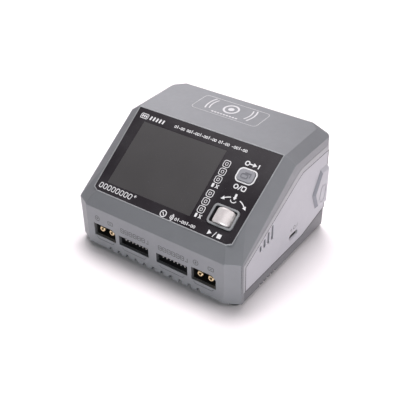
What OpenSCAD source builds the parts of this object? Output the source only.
// Balance battery charger: a dual-output desk charger for model batteries.
// Millimetres, +Z up. X = 0 and Y = 0 are the middle of the case, Z = 0 is the surface it stands on.
// The sockets and the sloped display face -Y.

/* [Case] */
// Width of the case across its two side faces
body_w = 115; // [112:0.5:118]
// Depth of the case from the front face to the rear face
body_d = 96; // [94:0.5:100]
// Height of the top face above the table
body_h = 69; // [68:0.5:72]
// Height of the rubber feet under the case
foot_h = 2.5; // [2:0.5:3]
// Wall thickness of the shells
wall = 2; // [1.8:0.1:2.2]
// Height of the top edge of the upright front face
front_h = 29.7; // [29:0.1:30.5]
// Angle of the display face from the horizontal
slope_angle = 33.4; // [33:0.1:34]
// Position of the crest, where the display face meets the top face
crest_y = 7.9; // [7:0.1:9]

/* [Display face] */
// Thickness of the black front lens
lens_t = 1.5; // [1.2:0.1:1.8]
// Width of the display
display_w = 59.6; // [56:0.2:60]
// Height of the display along the slope
display_h = 43; // [40:0.5:44]
// Width of the port button
button_w = 9.8; // [9:0.1:10]
// Height of the port button along the slope
button_h = 7; // [6.4:0.1:7.2]
// How far the port button travels
button_travel = 0.5; // [0.3:0.1:0.6]

/* [Roller] */
// Radius of the roller
roller_r = 6.6; // [6.4:0.1:6.8]
// Length of the roller along the slope
roller_l = 9.2; // [9:0.1:9.3]
// Depth of the roller's axle under the lens
roller_depth = 3.8; // [3.6:0.1:4]
// How far the roller presses in
roller_travel = 0.6; // [0.4:0.1:0.7]

/* [Sockets] */
// Distance of each battery output from the middle
output_x = 35.6; // [35:0.1:36]
// Distance of each balance socket from the middle
balance_x = 13.75; // [13.5:0.05:14]
// Number of pins in a balance socket
balance_pins = 7; // [3:1:7]
// Height of the battery outputs above the table
output_z = 14.1; // [14:0.1:14.5]
// Height of the balance sockets above the table
balance_z = 13.5; // [13.4:0.1:14]

/* [Fan] */
// Side of the square cooling fan
fan_size = 40; // [38:1:40]
// Thickness of the cooling fan
fan_t = 10; // [8:1:10]
// Number of fan blades
fan_blades = 7; // [5:1:9]

/* [Hidden] */
$fn = 48;

GUNMETAL = [0.42, 0.44, 0.46];
LIGHT_GREY = [0.6, 0.6, 0.63];
DARK_GREY = [0.3, 0.31, 0.33];
BLACK = [0.06, 0.06, 0.07];
DISPLAY_GREY = [0.22, 0.21, 0.21];
SILVER = [0.78, 0.76, 0.76];
GOLD = [0.85, 0.66, 0.3];
RUBBER = [0.1, 0.1, 0.1];
BOARD_GREEN = [0.06, 0.28, 0.14];
COPPER = [0.72, 0.4, 0.2];
LABEL_GREY = [0.75, 0.75, 0.77];
WIRE_RED = [0.65, 0.08, 0.06];

// A box bigger than the whole charger, for cutting
BIG = 200;
// Extra depth that makes a cut run clean through a face
eps = 0.5;
// Gap between pieces that sit in each other
gap = 0.2;
half_w = body_w / 2;
half_d = body_d / 2;

// Corner points of the case on its +X side
crest_corner = [50.8, crest_y, body_h];
chamfer_rear = [half_w, crest_y, body_h - 4.6];
slope_corner_x = 49.6;
slope_corner_y = -40.1;
brow_top_y = -41.4;
brow_corner_x = 45.6;
corner_cut_x = 8.5;
corner_cut_y = 4.7;
rear_cut = 2;
rear_top_cut = 5.6;

// Height of the display face's plane at a given depth position
function slope_z(y) = body_h + (y - crest_y) * tan(slope_angle);

// A plane through three points, as [outward unit normal, distance from the origin]
function plane_through(a, b, c) =
    let (n = cross(b - a, c - a) / norm(cross(b - a, c - a)))
    n * a > 0 ? [n, n * a] : [-n, -n * a];

// Faces of the case that cross the middle plane
MIDDLE_FACES = [
    [[0, -sin(slope_angle), cos(slope_angle)], slope_z(0) * cos(slope_angle)],
    plane_through([0, -half_d, front_h], [1, -half_d, front_h], [0, brow_top_y, slope_z(brow_top_y)])
];

// Faces of the case on its +X side, mirrored for the -X side
CORNER_FACES = [
    plane_through(crest_corner, [slope_corner_x, slope_corner_y, slope_z(slope_corner_y)], chamfer_rear),
    plane_through(crest_corner, crest_corner + [0, 10, 0], chamfer_rear),
    plane_through([brow_corner_x, brow_top_y, slope_z(brow_top_y)], [half_w - corner_cut_x, -half_d, front_h],
        [half_w, corner_cut_y - half_d, front_h + 0.1]),
    plane_through([half_w - corner_cut_x, -half_d, 0], [half_w, corner_cut_y - half_d, 0],
        [half_w, corner_cut_y - half_d, 10]),
    plane_through([half_w - rear_cut, half_d, 0], [half_w, half_d - rear_cut, 0],
        [half_w, half_d - rear_cut, 10]),
    plane_through([crest_corner[0], half_d - rear_top_cut, body_h],
        [crest_corner[0] - rear_top_cut, half_d, body_h], [half_w, half_d - 0.5, chamfer_rear[2]])
];

// Everything outside a plane
module beyond(normal, distance) {
    turn = atan2(normal[1], normal[0]);
    tip = acos(normal[2]);
    rotate([0, tip, turn])
        translate([-BIG, -BIG, distance])
            cube([2 * BIG, 2 * BIG, BIG]);
}

// The case's outer form moved inwards: inset for every face, slope_inset for the display face
module case_form(inset, slope_inset) {
    difference() {
        translate([inset - half_w, inset - half_d, foot_h + inset])
            cube([body_w - 2 * inset, body_d - 2 * inset, body_h - foot_h - 2 * inset]);
        beyond(MIDDLE_FACES[0][0], MIDDLE_FACES[0][1] - slope_inset);
        beyond(MIDDLE_FACES[1][0], MIDDLE_FACES[1][1] - inset);
        for (side = [0, 1], face = CORNER_FACES)
            mirror([side, 0, 0])
                beyond(face[0], face[1] - inset);
    }
}

// Puts children on the display face: x across, s up the slope from the crest, depth under the face
module on_slope(x, s, depth) {
    translate([0, crest_y, body_h])
        rotate([slope_angle, 0, 0])
            translate([x, s, -depth])
                children();
}

// Gives an outline on the display face a thickness, from one depth down to another
module slope_plate(x, s, from, to) {
    on_slope(x, s, to)
        linear_extrude(height = to - from)
            children();
}

// Puts a YZ outline on the case: the outline's first axis is Y and its second is Z, extruded along +X
module along_x(from, length) {
    translate([from, 0, 0])
        rotate([90, 0, 90])
            linear_extrude(height = length)
                children();
}

// Puts an XZ outline on the case, extruded along +Y
module along_y(from, length) {
    translate([0, from + length, 0])
        rotate([90, 0, 0])
            linear_extrude(height = length)
                children();
}

// A rectangle centred on the origin with its corners cut off
module cut_rect(w, h, cut) {
    polygon([[-w / 2 + cut, -h / 2], [w / 2 - cut, -h / 2], [w / 2, -h / 2 + cut], [w / 2, h / 2 - cut],
        [w / 2 - cut, h / 2], [-w / 2 + cut, h / 2], [-w / 2, h / 2 - cut], [-w / 2, -h / 2 + cut]]);
}

// A rectangle centred on the origin with round corners
module round_rect(w, h, r) {
    square([w - 2 * r, h], center = true);
    square([w, h - 2 * r], center = true);
    for (x = [-1, 1], y = [-1, 1])
        translate([x * (w / 2 - r), y * (h / 2 - r)])
            circle(r);
}

// A long hole with round ends, w long
module slot_shape(w, h) {
    square([w - h, h], center = true);
    for (x = [-1, 1])
        translate([x * (w - h) / 2, 0])
            circle(h / 2);
}

// Moves the edges of a convex outline outwards by d, or inwards where d is negative.
// The outline's points run counter-clockwise.
function grow(points, d) = [
    for (i = [0 : len(points) - 1])
        let (before = points[(i + len(points) - 1) % len(points)],
            after = points[(i + 1) % len(points)],
            u = (points[i] - before) / norm(points[i] - before),
            v = (after - points[i]) / norm(after - points[i]))
        points[i] + d * [u[1] + v[1], -u[0] - v[0]] / (1 + u * v)
];

// ---- Outlines ----

// Width of the lines between the covers
seam = 0.3;
// Side plate, as [Y, Z]
band_z = 9.4;
band_rise_y = 20;
band_rear_z = 15.2;
panel_rear_y = half_d - 1.7;
SIDE_OUTLINE = [[-40, band_z + seam], [band_rise_y, band_z + seam], [panel_rear_y, band_rear_z + seam],
    [panel_rear_y, 55.2], [17, 55.2], [13, 53.5], [-40, 26.2]];
// Rear plate, as [X, Z]
rear_half_w = half_w - 7.5;
REAR_OUTLINE = [[-rear_half_w, band_rear_z + seam], [rear_half_w, band_rear_z + seam], [rear_half_w, 54],
    [rear_half_w - 6, 60], [6 - rear_half_w, 60], [-rear_half_w, 54]];
// Front lens on the display face, as [X, distance up the slope from the crest]
LENS_OUTLINE = [[-45.2, -58.3], [45.2, -58.3], [48.2, -56.8], [50, -0.7], [-50, -0.7], [-48.2, -56.8]];
// Raised relief on a side plate, as [Y, Z]
RELIEF_OUTLINE = [[35, 20.5], [panel_rear_y, 18.5], [panel_rear_y, 46], [38.5, 45.6], [30.5, 32]];
relief_t = 1.5;

// ---- Places of the inner parts ----

// How far the shell reaches under the edge of the lens
ledge = 2.6;
slope_wall = lens_t + 1.5;
screw_x = 50;
screw_y = 26;
foot_x = 50.6;
foot_y = 39.6;
foot_r = 5.5;
floor_t = 2.5;
floor_top = foot_h + floor_t;
screw_pad_top = floor_top + 3;
display_x = -12.1;
display_s = -30.2;
button_x = 36.2;
button_s = -19;
roller_x = 36.2;
roller_s = -45.1;
control_depth = 7;
board_t = 1.6;
CONTROL_POSTS = [[-48.3, -5.5], [48.3, -5.5], [-48.3, -54], [24, -54.5]];
main_z = floor_top + 2;
main_top = main_z + board_t;
board_half_w = 45;
main_front = 3.6 - half_d;
main_rear = 32;
MAIN_SCREWS = [[-42, -24], [42, -24], [-42, 29], [42, 29]];
power_z = 34;
power_top = power_z + board_t;
power_front = -8;
power_rear = 34;
STANDOFFS = [[-42, -5], [42, -5], [-42, 21], [42, 21]];
fan_z = 37;
fan_front = half_d - wall - 0.2;
fan_hole_pitch = fan_size * 0.8;
mouth_y = wall + 0.1 - half_d;
output_w = 15.9;
output_h = 8.1;
// Size of the cut corners at an output's keyed end
output_key = 2.4;
output_pin_x = 3.6;
output_pin_r = 1.95;
output_bore_r = 0.9;
balance_pitch = 2.5;
balance_pin = 0.64;
// How far the balance pins sit above the middle of their socket, and how far in their tips are
balance_lift = 0.15;
balance_tip = 2.2;
// How far behind the front face the balance pins bend down
balance_leg_y = wall + 9.7;
balance_w = balance_pitch * (balance_pins - 1) + 6.4;
balance_h = 6;
inlet_x = 37;
inlet_z = 27;
inlet_w = 20;
inlet_h = 13;
inlet_pin_x = 4.3;
inlet_pin_r = 1.18;
data_y = 10;
data_z = 16.3;
notch_pitch = 6.4;
notch_w = 2.4;
notch_h = 2.5;
label_w = 52;
label_d = 30;
// How far the side bands lean in between their top edge and the floor
band_lean = 0.3;

// ---- Shells and covers ----

// The layer of the case within depth of its front face and front corner faces
module front_zone(depth) {
    corner = CORNER_FACES[3];
    translate([-BIG, -half_d - BIG, -BIG])
        cube([2 * BIG, BIG + depth, 2 * BIG]);
    for (side = [0, 1])
        mirror([side, 0, 0])
            beyond(corner[0], corner[1] - depth);
}

// Space of the lower shell's walls, up to the line under the side plates
module below_band(raise) {
    along_x(-BIG / 2, BIG)
        polygon([[-half_d - 5, -5], [half_d + 5, -5],
            [half_d + 5, band_rear_z + raise], [panel_rear_y, band_rear_z + raise],
            [band_rise_y, band_z + raise], [-half_d - 5, band_z + raise]]);
}

// Four screw posts, at the same places in both shells
module at_case_screws() {
    for (x = [-screw_x, screw_x], y = [-screw_y, screw_y])
        translate([x, y, 0])
            children();
}

// Outline of one battery output, its keyed end towards +X
module output_shape(grow_by) {
    w = output_w / 2 + grow_by;
    h = output_h / 2 + grow_by;
    polygon([[-w, -h], [w - output_key, -h], [w, output_key - h], [w, h - output_key], [w - output_key, h],
        [-w, h]]);
}

// Window in the shell for an output: only its upper corner is cut like the socket's
module output_window() {
    w = output_w / 2 + gap;
    h = output_h / 2 + gap;
    polygon([[-w, -h], [w, -h], [w, h - output_key], [w - output_key, h], [-w, h]]);
}

module front_apertures() {
    for (side = [-1, 1]) {
        along_y(-half_d - eps, wall + 2 * eps)
            translate([side * output_x, output_z])
                output_window();
        along_y(-half_d - eps, wall + 2 * eps)
            translate([side * balance_x, balance_z])
                square([balance_w + 0.4, balance_h + 0.4], center = true);
    }
}

// Air notches in the bottom edge of the front face
module front_notches() {
    for (i = [-5 : 5])
        translate([i * notch_pitch, -half_d - eps, foot_h]) {
            translate([-notch_w / 2, 0, -eps])
                cube([notch_w, wall + 2 * eps, notch_h - notch_w / 2 + eps]);
            translate([0, 0, notch_h - notch_w / 2])
                rotate([-90, 0, 0])
                    cylinder(r = notch_w / 2, h = wall + 2 * eps);
        }
}

module lens_posts() {
    for (p = CONTROL_POSTS)
        on_slope(p[0], p[1], control_depth - 0.1)
            cylinder(r = 2.2, h = control_depth - lens_t - 0.3);
}

module lens_cuts() {
    on_slope(0, 0, lens_t)
        linear_extrude(height = lens_t + 5)
            polygon(grow(LENS_OUTLINE, 0.08));
    difference() {
        on_slope(0, 0, slope_wall + 2)
            linear_extrude(height = slope_wall + 2)
                polygon(grow(LENS_OUTLINE, -ledge));
        lens_posts();
    }
    for (p = CONTROL_POSTS)
        on_slope(p[0], p[1], control_depth + 1)
            cylinder(r = 0.95, h = control_depth - lens_t);
}

module top_shell() {
    color(GUNMETAL)
        difference() {
            union() {
                difference() {
                    case_form(0, 0);
                    case_form(wall, slope_wall);
                }
                lens_posts();
                intersection() {
                    case_form(wall / 2, wall / 2);
                    at_case_screws()
                        translate([0, 0, screw_pad_top + gap])
                            cylinder(r = 3.2, h = body_h);
                }
            }
            difference() {
                below_band(seam);
                front_zone(wall);
            }
            for (side = [0, 1])
                mirror([side, 0, 0])
                    along_x(half_w - wall - eps, 10)
                        polygon(grow(SIDE_OUTLINE, seam));
            along_y(half_d - wall - eps, 10)
                polygon(grow(REAR_OUTLINE, seam));
            lens_cuts();
            front_apertures();
            front_notches();
            foot_pockets();
            at_case_screws()
                translate([0, 0, screw_pad_top])
                    cylinder(r = 1.45, h = 14);
        }
}

// Air slots through the floor, and small ones along the bottom edges of the side bands
module floor_slots() {
    for (x = [-24 : 6 : 24], y = [-1, 1])
        translate([x, y * 31, foot_h - eps])
            linear_extrude(height = floor_t + 2 * eps)
                rotate(90)
                    slot_shape(16, 2.4);
    for (side = [-1, 1], i = [0 : 4])
        translate([side * half_w, -24.5 + 3.8 * i, foot_h])
            cube([8, 1.8, 3.2], center = true);
}

module bottom_shell() {
    color(DARK_GREY)
        difference() {
            union() {
                intersection() {
                    difference() {
                        case_form(0, 0);
                        translate([0, 0, floor_t - wall])
                            case_form(wall, wall);
                    }
                    below_band(0);
                }
                at_case_screws()
                    translate([0, 0, foot_h])
                        cylinder(r = 4.5, h = screw_pad_top - foot_h);
                for (p = MAIN_SCREWS)
                    translate([p[0], p[1], foot_h])
                        cylinder(r = 3, h = main_z - foot_h - 0.05);
            }
            front_zone(wall + gap);
            band_taper();
            floor_slots();
            at_case_screws() {
                translate([0, 0, foot_h - eps])
                    cylinder(r = 3.2, h = eps + 2);
                cylinder(r = 1.7, h = screw_pad_top + 1);
            }
            foot_pockets();
            for (p = MAIN_SCREWS)
                translate([p[0], p[1], floor_top - 1])
                    cylinder(r = 1.1, h = 10);
            translate([-label_w / 2, -label_d / 2, foot_h - eps])
                cube([label_w, label_d, eps + 0.35]);
        }
}

// The shallow pockets that the feet are glued into. The front ones reach the upper shell's front corners.
module foot_pockets() {
    for (x = [-foot_x, foot_x], y = [-foot_y, foot_y])
        translate([x, y, foot_h - eps])
            cylinder(r = foot_r + 0.1, h = eps + 0.6);
}

module band_taper() {
    lean = plane_through([half_w, 0, band_z], [half_w, 1, band_z], [half_w - band_lean, 0, foot_h]);
    for (side = [0, 1])
        mirror([side, 0, 0])
            beyond(lean[0], lean[1]);
}

module rating_label() {
    color(LABEL_GREY)
        translate([0.15 - label_w / 2, 0.15 - label_d / 2, foot_h])
            cube([label_w - 0.3, label_d - 0.3, 0.3]);
}

module rubber_feet() {
    color(RUBBER)
        for (x = [-foot_x, foot_x], y = [-foot_y, foot_y])
            translate([x, y, 0])
                rotate_extrude()
                    polygon([[0, 0.3], [foot_r - 2.5, 0.3], [foot_r - 2.2, 0], [foot_r - 0.8, 0],
                        [foot_r, 0.8], [foot_r, foot_h + 0.55], [0, foot_h + 0.55]]);
}

// A pan-head screw that points up: head radius and height, shank radius and length
module screw(head_r, head_h, shank_r, shank_l) {
    difference() {
        cylinder(r = head_r, h = head_h);
        for (turn = [0, 90])
            rotate(turn)
                translate([0, 0, 0.4])
                    cube([head_r * 1.2, 0.6, 1], center = true);
    }
    translate([0, 0, head_h])
        cylinder(r = shank_r, h = shank_l);
}

module case_screws() {
    color(SILVER)
        at_case_screws()
            translate([0, 0, foot_h + 0.3])
                screw(2.9, 1.6, 1.4, 15);
}

// Four slots that rise towards the rear, cut through a side plate
module side_vents() {
    for (i = [0 : 3])
        translate([0, -25.6 + 3.9 * i, 27.4 + 0.3 * i])
            along_x(half_w - wall - 2, wall + 4)
                translate([0, (3.9 + 1.95 * i) / 2])
                    rotate(90)
                        slot_shape(3.9 + 1.95 * i, 2);
}

// The raised relief: a plate whose edges all lean inwards
module side_relief() {
    middle = [40, 32];
    crest = [for (p = RELIEF_OUTLINE) middle + (p - middle) * 0.84];
    last = len(RELIEF_OUTLINE);
    difference() {
        along_x(half_w - 0.5, relief_t + 0.5)
            polygon(RELIEF_OUTLINE);
        for (i = [0, 2, 3, 4])
            relief_edge(RELIEF_OUTLINE[i], RELIEF_OUTLINE[(i + 1) % last], crest[i]);
        along_x(half_w + relief_t - 0.3, 1)
            translate([40.6, 29])
                rotate(80)
                    difference() {
                        slot_shape(12, 7);
                        slot_shape(10.4, 5.4);
                    }
    }
}

// Cuts the relief by a plane from one edge at the plate's face up to the crest
module relief_edge(a, b, top) {
    face = plane_through([half_w, a[0], a[1]], [half_w, b[0], b[1]], [half_w + relief_t, top[0], top[1]]);
    beyond(face[0], face[1]);
}

module side_plate() {
    along_x(half_w - wall - 0.5, wall + 0.5)
        polygon(SIDE_OUTLINE);
    intersection() {
        along_x(half_w - wall - 1.2, 1.15)
            polygon(grow(SIDE_OUTLINE, 2));
        case_form(wall + 0.1, slope_wall);
        translate([0, 0, BIG / 2 + band_rear_z + 1])
            cube(BIG, center = true);
    }
    side_relief();
}

module side_panel_left() {
    color(LIGHT_GREY)
        mirror([1, 0, 0])
            difference() {
                side_plate();
                side_vents();
            }
}

module side_panel_right() {
    color(LIGHT_GREY)
        difference() {
            side_plate();
            side_vents();
            along_x(half_w - wall - 2, wall + 4)
                translate([data_y, data_z])
                    slot_shape(9.6, 3.9);
        }
}

// Ring slots of the fan grille with four spokes left standing
module fan_grille() {
    translate([0, half_d - wall - eps, fan_z])
        rotate([-90, 0, 0])
            difference() {
                for (r = [6 : 3.4 : fan_size / 2 - 2])
                    difference() {
                        cylinder(r = r + 2.2, h = wall + 2 * eps);
                        translate([0, 0, -eps])
                            cylinder(r = r, h = wall + 4 * eps);
                    }
                for (turn = [45, 135])
                    rotate(turn)
                        cube([2, fan_size + 5, 3 * wall + 4], center = true);
            }
}

// Puts children at the four fan screws, on the XZ plane
module at_fan_screws() {
    for (x = [-1, 1], z = [-1, 1])
        translate([x * fan_hole_pitch / 2, 0, fan_z + z * fan_hole_pitch / 2])
            rotate([-90, 0, 0])
                children();
}

// A rim inside the rear plate, which reaches out by grow_by behind the shell
module rear_rim(thickness, grow_by) {
    along_y(half_d - wall - 1.2, thickness)
        difference() {
            polygon(grow(REAR_OUTLINE, grow_by));
            polygon(grow(REAR_OUTLINE, -1.2));
        }
}

module rear_panel() {
    color(GUNMETAL)
        difference() {
            union() {
                along_y(half_d - wall, wall)
                    polygon(REAR_OUTLINE);
                rear_rim(1.15, 1.8);
                rear_rim(1.5, 0);
            }
            fan_grille();
            at_fan_screws() {
                cylinder(r = 1.8, h = half_d + eps);
                translate([0, 0, half_d - 1.2])
                    cylinder(r = 3.2, h = 2);
            }
            along_y(half_d - 4, 6)
                translate([inlet_x, inlet_z])
                    cut_rect(inlet_w + 0.3, inlet_h + 0.3, 3);
            along_y(half_d - 4, 6)
                translate([-inlet_x, inlet_z])
                    output_shape(0.2);
        }
}

// ---- Display face ----

// Outline of the roller's bezel where it stands in the lens
module bezel_shape(grow_by) {
    round_rect(16.3 + 2 * grow_by, 12.2 + 2 * grow_by, 2.4);
}

module front_lens() {
    below = lens_t + eps;
    color(BLACK)
        difference() {
            slope_plate(0, 0, 0, lens_t - 0.02)
                polygon(LENS_OUTLINE);
            slope_plate(display_x, display_s, -eps, below)
                square([display_w, display_h], center = true);
            slope_plate(button_x, button_s, -eps, below)
                round_rect(button_w + 0.6, button_h + 0.6, 2.3);
            slope_plate(roller_x, roller_s, -eps, below)
                bezel_shape(0.15);
        }
}

module lcd_display() {
    color(DISPLAY_GREY) {
        slope_plate(display_x, display_s, 0.05, lens_t + 0.2)
            square([display_w - 0.1, display_h - 0.1], center = true);
        slope_plate(display_x, display_s, lens_t + 0.1, 5)
            square([63.4, 47.4], center = true);
    }
}

module lcd_holder() {
    color(LIGHT_GREY)
        difference() {
            slope_plate(display_x, display_s, lens_t + 0.1, control_depth - 0.1)
                cut_rect(66.4, 50, 1);
            slope_plate(display_x, display_s, 0, 5.1)
                square([63.6, 47.6], center = true);
        }
}

module at_control_posts() {
    for (p = CONTROL_POSTS)
        translate(p)
            children();
}

module control_board() {
    color(BOARD_GREEN) {
        slope_plate(0, 0, control_depth, control_depth + board_t)
            difference() {
                union() {
                    translate([-46.3, -54.8])
                        square([92.6, 50.8]);
                    at_control_posts()
                        circle(2.6);
                }
                translate([26.8, -60])
                    square([30, 23.6]);
                at_control_posts()
                    circle(1.1);
            }
        slope_plate(-24, -20, control_depth + 1, control_depth + board_t + 1.4)
            square([12, 12], center = true);
        slope_plate(18, -18, control_depth + 1, control_depth + board_t + 1)
            square([7, 7], center = true);
    }
}

module control_screws() {
    color(SILVER)
        for (p = CONTROL_POSTS)
            on_slope(p[0], p[1], control_depth + board_t + 1.4)
                screw(1.8, 1.35, 0.9, 5.4);
}

module button_switch() {
    color(BLACK) {
        slope_plate(button_x, button_s, 4.6, control_depth - 0.05)
            square([6, 6], center = true);
        on_slope(button_x, button_s, 4.7)
            cylinder(r = 1.6, h = 0.4);
    }
}

module port_button() {
    color(LIGHT_GREY) {
        slope_plate(button_x, button_s, -0.5, lens_t + 0.5)
            round_rect(button_w, button_h, 2);
        slope_plate(button_x, button_s, lens_t + 0.4, lens_t + 1.2)
            round_rect(button_w + 2.2, button_h + 2, 2);
        on_slope(button_x, button_s, 3.5)
            cylinder(r = 1.2, h = 1);
    }
}

// ---- Roller ----

well_depth = 15.9;
roller_axle_r = 0.8;
arm_t = 1.3;

// Puts children on the roller's axle, their Z axis pointing down the slope
module at_roller() {
    on_slope(roller_x, roller_s, roller_depth)
        rotate([90, 0, 0])
            children();
}

module roller_bezel() {
    color(GUNMETAL)
        difference() {
            union() {
                slope_plate(roller_x, roller_s, -0.8, lens_t + 0.5)
                    bezel_shape(0);
                slope_plate(roller_x, roller_s, lens_t + 0.05, 3.1)
                    cut_rect(18.6, 17, 1.5);
                slope_plate(roller_x, roller_s, 3, well_depth)
                    square([17.4, 15.6], center = true);
            }
            slope_plate(roller_x, roller_s, -2, 3)
                round_rect(14, 10, 1.2);
            slope_plate(roller_x, roller_s, lens_t + 0.5, well_depth + eps)
                square([15, 13.2], center = true);
        }
}

module roller_carriage() {
    color(DARK_GREY)
        difference() {
            union() {
                for (side = [-1, 1])
                    slope_plate(roller_x, roller_s + side * (4.9 + arm_t / 2), lens_t + 0.8, 11.5)
                        square([7, arm_t], center = true);
                slope_plate(roller_x, roller_s, 11, 12.2)
                    square([14.4, 12.4], center = true);
            }
            at_roller()
                cylinder(r = roller_axle_r + 0.06, h = 20, center = true);
        }
}

module roller_wheel() {
    end = roller_l / 2;
    bore = roller_axle_r + 0.02;
    color(SILVER)
        at_roller()
            rotate_extrude()
                polygon([[bore, -end], [roller_r - 0.7, -end], [roller_r - 0.3, 0.2 - end],
                    [roller_r, 1 - end], [roller_r, end - 1], [roller_r - 0.3, end - 0.2],
                    [roller_r - 0.7, end], [bore, end]]);
}

module roller_axle() {
    color(SILVER)
        at_roller()
            cylinder(r = roller_axle_r, h = 2 * (4.9 + arm_t), center = true);
}

module roller_board() {
    color(BOARD_GREEN)
        slope_plate(roller_x, roller_s, well_depth + 0.1, well_depth + 1.3)
            square([18, 17], center = true);
}

module roller_switch() {
    color(BLACK) {
        slope_plate(roller_x, roller_s, 14.2, well_depth + 0.05)
            square([6, 6], center = true);
        on_slope(roller_x, roller_s, 14.3)
            cylinder(r = 1.5, h = 1.2);
    }
}

module roller_encoder() {
    color(BLACK)
        slope_plate(roller_x + 5.3, roller_s, 13.4, well_depth + 0.05)
            square([3.4, 4], center = true);
}

// ---- Sockets ----

module at_output_pins(x, z) {
    for (side = [-1, 1])
        translate([x + side * output_pin_x, mouth_y, z])
            rotate([-90, 0, 0])
                children();
}

// Housing of a two-pin socket, its mouth towards -Y
module output_housing(x, z) {
    difference() {
        along_y(mouth_y, 12.8)
            translate([x, z])
                square([output_w + 2.4, output_h + 2.4], center = true);
        along_y(mouth_y - eps, 10 + eps)
            translate([x, z])
                output_shape(0);
        at_output_pins(x, z)
            cylinder(r = output_pin_r + 0.03, h = 20);
    }
}

// Two round contacts: barrels with one split side
module output_contacts(x, z) {
    r = output_pin_r;
    at_output_pins(x, z)
        difference() {
            rotate_extrude()
                polygon([[0, -0.3], [r - 0.4, -0.3], [r, 0.1], [r, 13.3], [0, 13.3]]);
            translate([0, 0, -1])
                cylinder(r = output_bore_r, h = 8);
            rotate(-45)
                translate([0, -0.2, -1])
                    cube([r + 1, 0.4, 6]);
        }
}

// Legs that join a socket's contacts to the main board
module output_legs(x) {
    for (side = [-1, 1])
        translate([x + side * output_pin_x - 1.2, mouth_y + 13.2, main_top + 0.05])
            cube([2.4, 1.2, output_z - main_top + 1]);
}

module output_socket_a() {
    color(BLACK)
        output_housing(-output_x, output_z);
}

module output_socket_b() {
    color(BLACK)
        output_housing(output_x, output_z);
}

module output_pins_a() {
    color(GOLD) {
        output_contacts(-output_x, output_z);
        output_legs(-output_x);
    }
}

module output_pins_b() {
    color(GOLD) {
        output_contacts(output_x, output_z);
        output_legs(output_x);
    }
}

// Puts children at each pin of a balance socket, on the XZ plane
module at_balance_pins(x) {
    for (i = [0 : balance_pins - 1])
        translate([x + (i - (balance_pins - 1) / 2) * balance_pitch, 0, 0])
            children();
}

module balance_housing(x) {
    difference() {
        along_y(mouth_y, 9.4)
            translate([x, balance_z])
                square([balance_w + 2, balance_h + 2], center = true);
        along_y(mouth_y - eps, 8 + eps)
            translate([x, balance_z])
                square([balance_w, balance_h], center = true);
        at_balance_pins(x)
            translate([0, 0, balance_z + balance_lift])
                cube([balance_pin + 0.04, 90, balance_pin + 0.04], center = true);
    }
}

// Square pins that bend down to the main board behind the housing
module balance_contacts(x) {
    low = main_top + 0.05;
    pin_z = balance_z + balance_lift - balance_pin / 2;
    at_balance_pins(x)
        translate([-balance_pin / 2, balance_tip - half_d, 0]) {
            translate([0, 0, pin_z])
                cube([balance_pin, balance_leg_y - balance_tip + 0.7, balance_pin]);
            translate([0, balance_leg_y - balance_tip, low])
                cube([balance_pin, 0.7, pin_z + balance_pin - low]);
        }
}

module balance_socket_a() {
    color(BLACK)
        balance_housing(-balance_x);
}

module balance_socket_b() {
    color(BLACK)
        balance_housing(balance_x);
}

module balance_pins_a() {
    color(SILVER)
        balance_contacts(-balance_x);
}

module balance_pins_b() {
    color(SILVER)
        balance_contacts(balance_x);
}

// A socket in the right side plate on a small upright board
module data_socket() {
    color(SILVER) {
        along_x(board_half_w - 0.2, half_w - board_half_w - 0.4)
            translate([data_y, data_z])
                difference() {
                    slot_shape(8.94, 3.26);
                    slot_shape(8.34, 2.66);
                }
        along_x(board_half_w - 0.2, 1)
            translate([data_y, data_z])
                slot_shape(8.94, 3.26);
        along_x(board_half_w, 10)
            translate([data_y, data_z])
                square([6.7, 0.7], center = true);
    }
    color(BOARD_GREEN)
        along_x(board_half_w - 1.3, 1.2)
            translate([data_y - 6, main_top + 0.05])
                square([12, 11]);
}

// ---- Main board ----

module main_board() {
    color(BOARD_GREEN) {
        difference() {
            translate([-board_half_w, main_front, main_z])
                cube([2 * board_half_w, main_rear - main_front, board_t]);
            for (p = MAIN_SCREWS)
                translate([p[0], p[1], main_z - eps])
                    cylinder(r = 1.3, h = board_t + 2 * eps);
        }
        for (side = [-1, 1])
            translate([side * 18 - 5, -26, main_top - 0.1])
                cube([10, 10, 1.3]);
    }
}

module board_screws() {
    color(SILVER) {
        for (p = MAIN_SCREWS)
            translate([p[0], p[1], main_top + 1.35])
                rotate([180, 0, 0])
                    screw(2.3, 1.3, 1.05, 4.5);
        for (p = STANDOFFS)
            translate([p[0], p[1], power_top + 1.35])
                rotate([180, 0, 0])
                    screw(2.3, 1.3, 1.05, 6);
    }
}

module board_standoffs() {
    color(GOLD)
        for (p = STANDOFFS)
            translate([p[0], p[1], main_top + 0.05])
                difference() {
                    cylinder(r = 2.6, h = power_z - main_top - 0.1, $fn = 6);
                    translate([0, 0, 12])
                        cylinder(r = 1.1, h = 20);
                }
}

// Ring coils that lie on the main board
module inductors() {
    color(COPPER)
        for (x = [-10, 10], y = [0, 20])
            translate([x, y, main_top + 0.05])
                rotate_extrude()
                    polygon([[3.5, 0.6], [4.1, 0], [7.4, 0], [8, 0.6],
                        [8, 7.4], [7.4, 8], [4.1, 8], [3.5, 7.4]]);
}

// A can capacitor with a rolled edge
module can(r, h) {
    rotate_extrude()
        polygon([[0, 0], [r, 0], [r, 1.2], [r - 0.4, 1.6], [r, 2], [r, h - 0.5], [r - 0.5, h], [0, h]]);
}

module board_capacitors() {
    color(BLACK)
        for (x = [-23, 23], y = [-4, 8, 20])
            translate([x, y, main_top + 0.05])
                can(4, 13);
}

sink_x = 30;
sink_front = -6;
sink_l = 30;

// A finned heat sink on the +X side of the main board
module heat_sink() {
    fins = 6;
    translate([sink_x, sink_front, main_top + 0.05]) {
        cube([2, sink_l, 21]);
        for (i = [0 : fins - 1])
            translate([1, i * (sink_l - 1) / (fins - 1), 0])
                cube([7, 1, 21]);
    }
}

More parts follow.
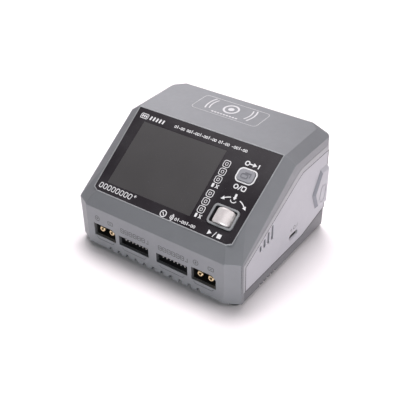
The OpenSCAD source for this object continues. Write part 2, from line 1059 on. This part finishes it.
module heat_sink_left() {
    color(SILVER)
        mirror([1, 0, 0])
            heat_sink();
}

module heat_sink_right() {
    color(SILVER)
        heat_sink();
}

module power_transistors() {
    color(BLACK)
        for (side = [0, 1], y = [sink_front + 6 : 9 : sink_front + 24])
            mirror([side, 0, 0])
                translate([sink_x - 2.05, y - 4, main_top + 4])
                    difference() {
                        cube([2, 8, 14]);
                        translate([-eps, 4, 11])
                            rotate([0, 90, 0])
                                cylinder(r = 1.6, h = 3);
                    }
}

module buzzer() {
    color(BLACK)
        translate([0, -28, main_top + 0.05])
            difference() {
                cylinder(r = 6, h = 8);
                translate([0, 0, 7])
                    cylinder(r = 1.2, h = 2);
            }
}

// ---- Power board ----

module power_board() {
    color(BOARD_GREEN)
        difference() {
            translate([-board_half_w, power_front, power_z])
                cube([2 * board_half_w, power_rear - power_front, board_t]);
            for (p = STANDOFFS)
                translate([p[0], p[1], power_z - eps])
                    cylinder(r = 1.3, h = board_t + 2 * eps);
        }
}

module transformer_core() {
    color(DARK_GREY)
        translate([8, 12, power_top + 9.05])
            rotate([-90, 0, 0])
                linear_extrude(height = 12)
                    difference() {
                        square([28, 18], center = true);
                        square([20.2, 12.2], center = true);
                    }
}

module transformer_winding() {
    color(COPPER)
        translate([8, 18, power_top + 9.05])
            cube([20, 20, 12], center = true);
}

module bulk_capacitors() {
    color(BLACK)
        for (x = [-31, -14.6])
            translate([x, 19, power_top + 0.05])
                can(8, 19);
}

// ---- Power inlets ----

module ac_inlet() {
    color(BLACK)
        difference() {
            along_y(half_d - 18, 18)
                translate([inlet_x, inlet_z])
                    cut_rect(inlet_w, inlet_h, 3);
            along_y(half_d - 10, 10 + eps)
                translate([inlet_x, inlet_z])
                    slot_shape(14.6, 9.1);
            at_inlet_pins()
                cylinder(r = inlet_pin_r + 0.02, h = 30);
        }
}

// Puts children at the two inlet pins, pointing along +Y from the back of the inlet
module at_inlet_pins() {
    for (side = [-1, 1])
        translate([inlet_x + side * inlet_pin_x, half_d - 18.5, inlet_z])
            rotate([-90, 0, 0])
                children();
}

module ac_inlet_pins() {
    r = inlet_pin_r;
    color(SILVER)
        at_inlet_pins()
            rotate_extrude()
                polygon([[0, 0], [r, 0], [r, 16.2], [r - 0.5, 17], [0, 17]]);
}

module dc_input_socket() {
    color(BLACK)
        mirror([0, 1, 0])
            output_housing(-inlet_x, inlet_z);
}

module dc_input_pins() {
    color(GOLD)
        mirror([0, 1, 0])
            output_contacts(-inlet_x, inlet_z);
}

// A round wire through a list of points
module wire(points, r) {
    last = len(points) - 1;
    for (i = [0 : last - 1]) {
        run = points[i + 1] - points[i];
        translate(points[i])
            rotate([0, acos(run[2] / norm(run)), atan2(run[1], run[0])])
                cylinder(r = r, h = norm(run));
    }
    for (i = [1 : last - 1])
        translate(points[i])
            sphere(r = r);
}

module ac_wires() {
    start = half_d - 18.55;
    color(WIRE_RED)
        for (side = [-1, 1])
            translate([inlet_x + side * inlet_pin_x, 0, 0])
                wire([[0, start, inlet_z], [0, start - 2.4, inlet_z], [0, start - 2.4, power_z - 0.05]], 0.9);
}

module dc_wires() {
    start = -mouth_y - 13.35;
    color(WIRE_RED)
        for (side = [-1, 1])
            translate([-inlet_x + side * output_pin_x, 0, 0])
                wire([[0, start, inlet_z], [0, start - 7, inlet_z], [0, start - 7, main_top + 0.05]], 1.1);
}

// A flat cable between the control board and the main board, with a plug at each end
module ribbon_cable() {
    ribbon_s = -31;
    plug_depth = control_depth + board_t + 0.05;
    ribbon_y = crest_y + ribbon_s * cos(slope_angle) + plug_depth * sin(slope_angle);
    ribbon_top = body_h + ribbon_s * sin(slope_angle) - plug_depth * cos(slope_angle);
    color(LIGHT_GREY) {
        slope_plate(0, ribbon_s, plug_depth, plug_depth + 3)
            square([18, 4], center = true);
        translate([-8, ribbon_y, main_top + 1])
            cube([16, 0.5, ribbon_top - main_top - 2]);
        translate([-9, ribbon_y - 2, main_top + 0.05])
            cube([18, 4, 3]);
    }
}

module antenna_board() {
    color(BOARD_GREEN)
        translate([-2.2, 32.5, body_h - wall - 1.1])
            linear_extrude(height = 1)
                difference() {
                    round_rect(44, 18, 3);
                    round_rect(30, 8, 2);
                }
}

// ---- Fan ----

fan_bore = fan_size / 2 - 1;
hub_r = 8;
shaft_r = 1.5;

// Puts children at the back of the fan, their Z axis along +Y
module at_fan() {
    translate([0, fan_front - fan_t, fan_z])
        rotate([-90, 0, 0])
            children();
}

module fan_frame() {
    color(BLACK)
        difference() {
            union() {
                at_fan()
                    difference() {
                        translate([0, 0, fan_t / 2])
                            cube([fan_size, fan_size, fan_t], center = true);
                        translate([0, 0, -eps])
                            cylinder(r = fan_bore, h = fan_t + 2 * eps);
                    }
                at_fan() {
                    cylinder(r = hub_r, h = 1);
                    cylinder(r = shaft_r, h = 6);
                    for (turn = [30 : 120 : 270])
                        rotate(turn)
                            translate([0, -1, 0])
                                cube([fan_bore + 0.2, 2, 1]);
                }
            }
            at_fan_screws()
                cylinder(r = 1.6, h = half_d);
        }
}

module fan_rotor() {
    depth = fan_t - 1.7;
    color(BLACK)
        at_fan()
            translate([0, 0, 1.3])
                difference() {
                    union() {
                        cylinder(r = hub_r, h = depth);
                        intersection() {
                            cylinder(r = fan_bore - 0.6, h = depth);
                            for (i = [0 : fan_blades - 1])
                                rotate(i * 360 / fan_blades)
                                    translate([hub_r - 1, 0, depth / 2])
                                        rotate([40, 0, 0])
                                            translate([0, -5, -0.5])
                                                cube([fan_bore, 10, 1]);
                        }
                    }
                    translate([0, 0, -eps])
                        cylinder(r = shaft_r + 0.06, h = 6);
                }
}

module fan_screws() {
    color(SILVER)
        at_fan_screws()
            translate([0, 0, half_d - 0.1])
                rotate([180, 0, 0])
                    screw(2.9, 1, 1.5, 8);
}

top_shell();
bottom_shell();
side_panel_left();
side_panel_right();
rear_panel();
rubber_feet();
case_screws();
rating_label();
front_lens();
lcd_display();
lcd_holder();
control_board();
control_screws();
button_switch();
port_button();
roller_bezel();
roller_carriage();
roller_wheel();
roller_axle();
roller_board();
roller_switch();
roller_encoder();
output_socket_a();
output_socket_b();
output_pins_a();
output_pins_b();
balance_socket_a();
balance_socket_b();
balance_pins_a();
balance_pins_b();
data_socket();
main_board();
board_screws();
inductors();
board_capacitors();
heat_sink_left();
heat_sink_right();
power_transistors();
buzzer();
power_board();
board_standoffs();
transformer_core();
transformer_winding();
bulk_capacitors();
ac_inlet();
ac_inlet_pins();
dc_input_socket();
dc_input_pins();
fan_frame();
fan_rotor();
fan_screws();
antenna_board();
ribbon_cable();
ac_wires();
dc_wires();
